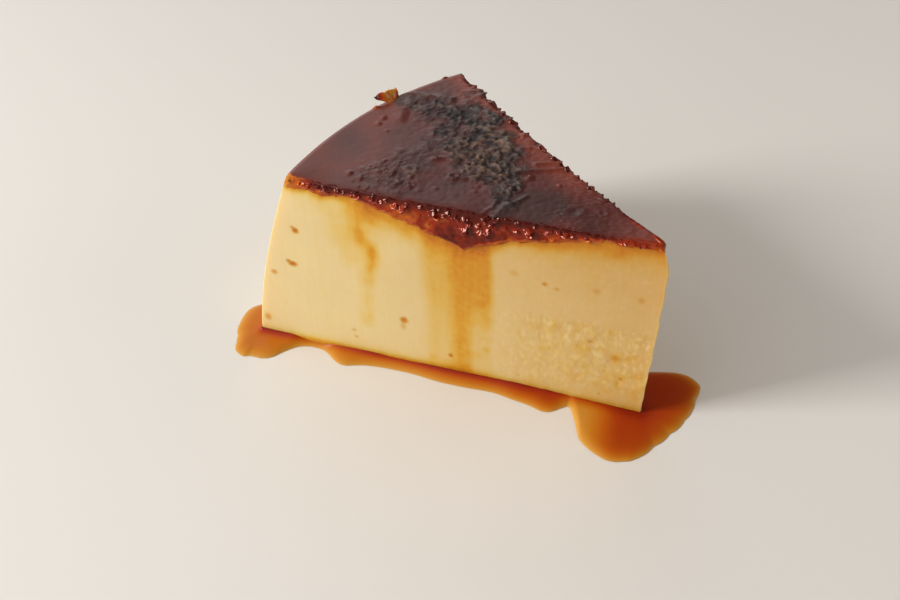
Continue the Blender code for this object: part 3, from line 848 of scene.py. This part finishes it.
def layer_place(out, turn, rise):
    """Bend a block into the caramel layer, with its crust and its torn edge."""
    above = slice_spot(out, turn, PUDDING_HEIGHT)
    underside = PUDDING_HEIGHT - layer_depth(above)
    from_second = (1 - turn) * above.length * SLICE_ANGLE
    from_wall = (1 - out) * TOP_RADIUS
    topside, relief, burnt, crag = crust(above, from_second, from_wall)
    ember = spots_share(above, EMBERS)
    share = 1 - (1 - rise) ** 1.35
    height = mix(underside, topside, share)
    below = topside - height
    spot = slice_spot(out, turn, height)
    fold = skin_fold(above)
    side = ember
    glow = 0.72
    if turn == 0:
        skin_depth = SKIN + SKIN_FOLD_DEPTH * fold
        skin = smooth(skin_depth, 0.8 * skin_depth, below)
        spot.y -= mix(-0.6, 0.3 * fold, skin)
        side = max(ember, 1 - skin)
        glow = mix(0.15, 0.72, ember)
    elif rise == 1:
        spot.y -= 0.3 * fold * smooth(1.8, 0, above.y)
    if turn == 1:
        reach, skin = torn_edge(above, out, below)
        spot += heading(SECOND_CUT_FACING) * reach
        side = max(ember, 1 - skin)
        glow = 0.5
    if out == 1:
        sunk = (0.2 - 0.25 * wave(Vector((turn * WALL_RUN, height)), 1.8, 58)) * sin(pi * share)
        spot -= heading(pi - turn * SLICE_ANGLE) * sunk
        side = mix(1, 0.3, smooth(0.9, 1, share))
        amber = 0.5 + 0.35 * wave(Vector((above.x + above.y, height)), 1.6, 59)
        glow = max(amber, smooth(0.9, 0.1, height - underside))
    if ember > 0.8:
        side = ember
        glow = 1
    red = red_and_sheen_share(above, from_second, from_wall)
    return from_origin(spot, height), (*char_marks(above, relief, burnt, crag), red, side, glow)


def flake_place(along, across, rise):
    """Bend a block into the flake: it rises from the layer and curls out over the wall."""
    ragged = waves(Vector((across, 0)), (0.7, 0.2, 31), (0.4, 1 / 11, 66))
    reach = reach_to_wall(FLAKE_BEARING, PUDDING_HEIGHT) - FLAKE_ROOT + along * FLAKE_LENGTH
    width = mix(FLAKE_ROOT_WIDTH, FLAKE_WIDTH, smooth(0.35, 0.9, along))
    hook = smooth(0.25, 0, across) * smooth(0.55, 0.95, along)
    spot = heading(FLAKE_BEARING) * (reach + 0.8 * hook)
    spot += heading(FLAKE_BEARING - pi / 2) * ((across - 0.5) * width - 0.9 * hook)
    edge_round = sqrt(max(0, 1 - (2 * across - 1) ** 4)) * sqrt(max(0, 1 - along ** 6))
    thickness = FLAKE_THICKNESS * mix(1, 0.5, along) * mix(0.25, 1, edge_round)
    sink = FLAKE_THICKNESS * (1 - along)
    rising = smooth(0.2, 1, along)
    height = PUDDING_HEIGHT - sink + (FLAKE_RISE + ragged + 1.2 * (0.5 - across)) * rising - 0.9 * hook
    height += 0.35 * wave(Vector((5 * across, 4 * along)), 1, 32) * smooth(0.1, 0.5, along)
    scorched = max(hook, 0.8 * smooth(0.75, 0.95, across) * smooth(0.9, 0.5, along))
    glow = 0.92 + 0.25 * wave(Vector((4 * across, 3 * along)), 1, 67)
    marks = (scorched, 0, 0, 0.5, 0, 1, glow * (1 - 0.9 * scorched))
    return from_origin(spot, height + thickness * (rise - 0.5)), marks


def base_spot(turn):
    """A spot of the wall's foot: turn goes from the first cut to the second."""
    bearing = pi - turn * SLICE_ANGLE
    return heading(bearing) * reach_to_wall(bearing, 0)


def wall_facing(spot):
    """The bearing that the wall faces at a spot on it."""
    out = spot - CENTRE_FROM_TIP
    return atan2(out.y, out.x) % (2 * pi)


def outline_place(stretch, share):
    """A spot on the base's outline, and the bearing it faces."""
    front = base_spot(0)
    back = base_spot(1)
    if stretch == 0:
        return Vector((0, 0)), mix(SECOND_CUT_FACING, FIRST_CUT_FACING, share)
    if stretch == 1:
        return front * share, FIRST_CUT_FACING
    if stretch == 2:
        return front, mix(FIRST_CUT_FACING, wall_facing(front) - 2 * pi, share)
    if stretch == 3:
        spot = base_spot(share)
        return spot, wall_facing(spot)
    if stretch == 4:
        return back, mix(wall_facing(back), SECOND_CUT_FACING, share)
    return back * (1 - share), SECOND_CUT_FACING


def pool_reach(station):
    """How far the pool reaches at a station, eased between the named places."""
    places, reaches = zip(*POOL_REACH)
    near = [station + aside for aside in POOL_REACH_SOFTENING]
    return float(numpy.interp(near, places, reaches, period=6).mean())


def pool_stations():
    """The stations round the outline: each corner is a fan."""
    stations = []
    for turn, (corner_steps, side_steps) in enumerate(zip(POOL_CORNER_STEPS, POOL_SIDE_STEPS)):
        stations += [(2 * turn, number / corner_steps) for number in range(corner_steps)]
        stations += [(2 * turn + 1, number / side_steps) for number in range(side_steps)]
    return stations


def pool_section(reach, climb):
    """The pool's cross-section: flat below, a climb at the slice, a thin rim."""
    section = [(0, 0), (reach, 0)]
    for share in POOL_SECTION:
        distance = share * reach
        rim = min((reach - distance) / POOL_RIM_WIDTH, 1)
        height = POOL_DEPTH * rim * (2 - rim)
        height += climb * exp(-distance / MENISCUS_WIDTH) * (1 - exp(distance - reach))
        section.append((distance, height))
    return section


def film_share(edge, distance, height, reach, widely):
    """How thick the pool looks at a spot, from 0 to about 1."""
    film = (1 - exp(-height / 1.3)) * (0.75 + 0.38 * (1 - exp(-(reach - distance) / 5)))
    film *= mix(0.94, 0.58, smooth(-45, -92, edge.x))
    lobe = smooth(-3, -14, edge.x) * smooth(-21, -16, edge.x) * smooth(1.5, -3.5, edge.y)
    film *= (1 - 0.85 * lobe) * mix(0.75, 1, smooth(2.2, 4.6, widely))
    film *= 1 + 0.35 * bell(distance, 2.5) * smooth(-12, -2, edge.x)
    return film * mix(1, 0.88 + 0.5 * bell(distance, 1.4), smooth(-20, -60, edge.x))


def close_rings(shape, sides):
    """Join each ring of corners to the next, all the way round."""
    corners = list(shape.verts)
    rings = [corners[first:first + sides] for first in range(0, len(corners), sides)]
    for ring, after in zip(rings, rings[1:] + rings[:1]):
        for side in range(sides):
            shape.faces.new((ring[side - 1], ring[side], after[side], after[side - 1]))


def make_pool():
    """The ring of thin caramel on the floor, closed up against the custard."""
    shape = bmesh.new()
    film = shape.verts.layers.float.new("film")
    for stretch, share in pool_stations():
        station = stretch + share
        spot, facing = outline_place(stretch, share)
        outwards = heading(facing)
        ripple = POOL_RIPPLE * wave(spot + outwards * POOL_DEPTH, POOL_RIPPLE_LENGTH, 7)
        reach = pool_reach(station) + ripple + 2 * POOL_OVERLAP
        widely = sum(pool_reach(station + aside) for aside in MENISCUS_SOFTENING) / len(MENISCUS_SOFTENING)
        climb = MENISCUS_HEIGHT * smooth(0, MENISCUS_CALM_AT_TIP, spot.length)
        section = pool_section(reach, climb * mix(0.4, 1, smooth(2.2, 4.6, widely)))
        for distance, height in section:
            edge = spot + outwards * (distance - POOL_OVERLAP)
            vert = shape.verts.new(from_origin(edge, height) * MM)
            vert[film] = film_share(edge, distance, height, reach, widely)
    close_rings(shape, len(section))
    return piece_from(shape, "caramel_pool_sauce")


def feed(tree, node, sockets):
    """Feed a node's sockets with values or with other nodes' outputs."""
    for key, value in sockets.items():
        socket = node.inputs[key]
        if isinstance(value, bpy.types.NodeSocket):
            tree.links.new(value, socket)
        else:
            socket.default_value = (*value, 1) if socket.type == "RGBA" else value


def step(tree, kind, sockets, output=0, **settings):
    """Add a node and feed its sockets: it gives one of its outputs."""
    node = tree.nodes.new(kind)
    for name, value in settings.items():
        setattr(node, name, value)
    feed(tree, node, sockets)
    return node.outputs[output]


def blend(tree, share, first, second, how="MIX"):
    """Mix two colours by a share."""
    sockets = {0: share, 6: first, 7: second}
    return step(tree, "ShaderNodeMix", sockets, 2, data_type="RGBA", blend_type=how)


def arithmetic(tree, operation, first, second, clamp=False):
    """Work out one number from two."""
    return step(tree, "ShaderNodeMath", {0: first, 1: second}, operation=operation, use_clamp=clamp)


def attribute(tree, name):
    """A mark kept on the mesh's corners."""
    return step(tree, "ShaderNodeAttribute", {}, "Fac", attribute_name=name)


def grain(tree, size, detail=3, stretch=(1, 1, 1)):
    """Noise from 0 to 1 with features of a size in millimetres."""
    place = step(tree, "ShaderNodeTexCoord", {}, "Object")
    scale = tuple(1 / (size * MM * side) for side in stretch)
    place = step(tree, "ShaderNodeMapping", {"Vector": place, "Scale": scale})
    return step(tree, "ShaderNodeTexNoise", {"Vector": place, "Scale": 1, "Detail": detail})


def spread(tree, value, low, high, to_low=0, to_high=1):
    """Stretch a value from one range to another, and keep it there."""
    sockets = {"Value": value, "From Min": low, "From Max": high, "To Min": to_low, "To Max": to_high}
    return step(tree, "ShaderNodeMapRange", sockets, clamp=True)


def ramp(tree, share, stops):
    """Colours along a share: each stop is a place and a colour."""
    colour = step(tree, "ShaderNodeValToRGB", {"Fac": share}, "Color")
    elements = colour.node.color_ramp.elements
    while len(elements) < len(stops):
        elements.new(0.5)
    for element, (place, tone) in zip(elements, stops):
        element.position = place
        element.color = (*tone, 1)
    return colour


def new_material(name):
    """A material and its surface."""
    made = bpy.data.materials.new(name)
    made.use_nodes = True
    return made, made.node_tree, made.node_tree.nodes["Principled BSDF"]


def custard_material():
    """Set custard: pale yellow, stained by caramel, curdled in places."""
    made, tree, surface = new_material("set_custard")
    pale = blend(tree, grain(tree, 9), *CUSTARD_PALE)
    # Golden tones: the custard's own, and also painted shade towards the tip and the top
    gold_and_shade = blend(tree, grain(tree, 7), *CUSTARD_GOLD_AND_SHADE)
    pale = blend(tree, attribute(tree, "golden_and_shade"), pale, gold_and_shade)
    flecks = spread(tree, grain(tree, 1.1, 2, (1, 1, 1.6)), 0.5, 0.7, 0, 0.5)
    flecks = arithmetic(tree, "MULTIPLY", spread(tree, attribute(tree, "curd"), 0, 1, 0.2, 0.9), flecks)
    pale = blend(tree, flecks, pale, CURD_FLECK)
    uneven = spread(tree, grain(tree, 1.6), 0.2, 0.8, 0.85, 1.12)
    stain = arithmetic(tree, "MULTIPLY", attribute(tree, "stain"), uneven)
    fibres = spread(tree, grain(tree, 0.8, 3, (1, 1, 9)), 0.3, 0.7, -0.02, 0.035)
    stain = arithmetic(tree, "ADD", stain, fibres, clamp=True)
    stained = blend(tree, 1, pale, ramp(tree, stain, SOAKED), "MULTIPLY")
    colour = blend(tree, attribute(tree, "brown"), stained, PIT_BROWN)
    fine = grain(tree, 0.5, 4)
    curd = grain(tree, 0.9, 3, (1, 1, 1.8))
    height = arithmetic(tree, "MULTIPLY", curd, spread(tree, attribute(tree, "curd"), 0, 1, 0.06, 0.4))
    height = arithmetic(tree, "ADD", height, arithmetic(tree, "MULTIPLY", fine, 0.08))
    normal = step(tree, "ShaderNodeBump", {"Height": height, "Strength": 0.3, "Distance": 0.0005})
    feed(tree, surface, {
        "Base Color": colour, "Roughness": 0.45, "Normal": normal, "IOR": 1.38,
        "Subsurface Weight": 0.45, "Subsurface Radius": (1, 0.5, 0.2), "Subsurface Scale": 0.004,
    })
    return made


def thin_caramel(tree):
    """The colour of wet caramel by how thin it is."""
    return ramp(tree, attribute(tree, "glow"), THIN_CARAMEL)


def wet_material():
    """Wet caramel where it is cut."""
    made, tree, surface = new_material("wet_caramel")
    sockets = {"Base Color": thin_caramel(tree), "Roughness": 0.09, "IOR": 1.38, "Specular Tint": WET_SHEEN}
    feed(tree, surface, sockets)
    return made


def caramel_material():
    """Burnt caramel: dark glossy red, charred and dusty in places."""
    made, tree, surface = new_material("burnt_caramel")
    burnt = attribute(tree, "burnt")
    crest_highlight = attribute(tree, "crest_highlight")
    side = attribute(tree, "side")
    plain = blend(tree, spread(tree, grain(tree, 9), 0.35, 0.65), *TOP_PLAIN)
    red = blend(tree, attribute(tree, "red"), plain, TOP_RED_AND_SHEEN)
    shaded = blend(tree, attribute(tree, "shade"), red, TOP_SHADE)
    # Low in the char's crags the colour is darker, painted shade; high on them it is lighter, a painted
    # highlight
    colour = blend(tree, burnt, shaded, blend(tree, crest_highlight, *CHAR_TONES))
    patchy = spread(tree, grain(tree, 1.5), 0.38, 0.62)
    dusty = arithmetic(tree, "MULTIPLY", attribute(tree, "dust"), patchy)
    dusty = arithmetic(tree, "MULTIPLY", dusty, burnt)
    colour = blend(tree, dusty, colour, blend(tree, crest_highlight, *DUST_TONES))
    colour = blend(tree, side, colour, thin_caramel(tree))
    rough = arithmetic(tree, "MULTIPLY", burnt, spread(tree, grain(tree, 1.2), 0.3, 0.7, 0.2, 0.5))
    rough = arithmetic(tree, "ADD", rough, spread(tree, side, 0, 1, 0.24, 0.1))
    coarse = spread(tree, burnt, 0, 1, 0.1, 1)
    height = arithmetic(tree, "MULTIPLY", grain(tree, 0.5, 4), coarse)
    normal = step(tree, "ShaderNodeBump", {"Height": height, "Strength": 0.5, "Distance": 0.0004})
    feed(tree, surface, {"Base Color": colour, "Roughness": rough, "Normal": normal, "IOR": 1.42})
    return made


def sauce_material():
    """Thin caramel: amber at its rim, deep red where it is deep."""
    made, tree, surface = new_material("caramel_sauce")
    colour = ramp(tree, attribute(tree, "film"), SAUCE)
    feed(tree, surface, {"Base Color": colour, "Roughness": 0.19, "IOR": 1.27})
    return made


def place_piece(piece, material, node):
    """Give a piece its finish and the part's one body, and hide the part's own mesh of that node."""
    piece.data.materials.append(material)
    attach(piece, "root")
    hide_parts(node)


def make_food():
    """The custard, its caramel top with the flake, and the pool."""
    flesh = block(CUSTARD_STEPS, custard_place, ("stain", "brown", "curd", "golden_and_shade"), hidden=(0, 1))
    custard = piece_from(flesh, "custard_flesh", CUT_CORNER)
    place_piece(custard, custard_material(), "custard")
    marks = ("burnt", "dust", "shade", "crest_highlight", "red", "side", "glow")
    caramel = caramel_material()
    layer = piece_from(block(LAYER_STEPS, layer_place, marks, hidden=(0,)), "caramel_layer")
    place_piece(layer, caramel, "caramel_top")
    wet = wet_material()
    for name, turn in (("caramel_first_face", 0), ("caramel_second_face", 1)):
        face = piece_from(block(FACE_STEPS, partial(face_place, turn), ("glow",), hidden=(0,)), name)
        place_piece(face, wet, "caramel_top")
    flake = piece_from(block(FLAKE_STEPS, flake_place, marks), "caramel_flake")
    place_piece(flake, caramel, "caramel_top")
    place_piece(make_pool(), sauce_material(), "caramel_pool")


def make_floor():
    """A plain pale floor."""
    bpy.ops.mesh.primitive_plane_add(size=FLOOR_WIDTH * MM, location=(0, 0, -FLOOR_DROP * MM))
    floor = bpy.context.object
    floor.name = "floor"
    made, tree, surface = new_material("pale_floor")
    feed(tree, surface, {"Base Color": FLOOR_COLOUR, "Roughness": 0.6})
    floor.data.materials.append(made)


def make_light(name, place, size, power, colour):
    """A soft rectangle of light that faces the slice."""
    light = bpy.data.lights.new(name, "AREA")
    light.shape = "RECTANGLE"
    light.size, light.size_y = size
    light.energy = power
    light.color = colour
    lamp = add_object(name, light)
    lamp.location = place
    lamp.rotation_euler = (-Vector(place)).to_track_quat("-Z", "Y").to_euler()


def make_world():
    """Plain surroundings, bright on the window's side."""
    world = bpy.data.worlds.new("surroundings")
    bpy.context.scene.world = world
    world.use_nodes = True
    tree = world.node_tree
    place = step(tree, "ShaderNodeTexCoord", {}, "Generated")
    across = step(tree, "ShaderNodeSeparateXYZ", {"Vector": place}, "X")
    colour = ramp(tree, spread(tree, across, 1, -1), SURROUNDINGS)
    feed(tree, tree.nodes["Background"], {"Color": colour, "Strength": 1})


def make_camera():
    """The photograph's view of the slice."""
    turned = Matrix.Rotation(VIEW_AZIMUTH, 4, "Z")
    turned @= Matrix.Rotation(pi / 2 - VIEW_ELEVATION, 4, "X")
    turned @= Matrix.Rotation(VIEW_ROLL, 4, "Z")
    turned @= Matrix.Translation((0, 0, VIEW_DISTANCE * MM))
    lens = bpy.data.cameras.new("view")
    lens.lens = VIEW_LENS
    lens.clip_start = VIEW_NEAREST * MM
    camera = add_object("view", lens)
    camera.matrix_world = Matrix.Translation(VIEW_TARGET * MM) @ turned
    bpy.context.scene.camera = camera


make_food()
make_floor()
for light in LIGHTS:
    make_light(*light)
make_world()
make_camera()
bpy.context.scene.view_settings.view_transform = "Standard"
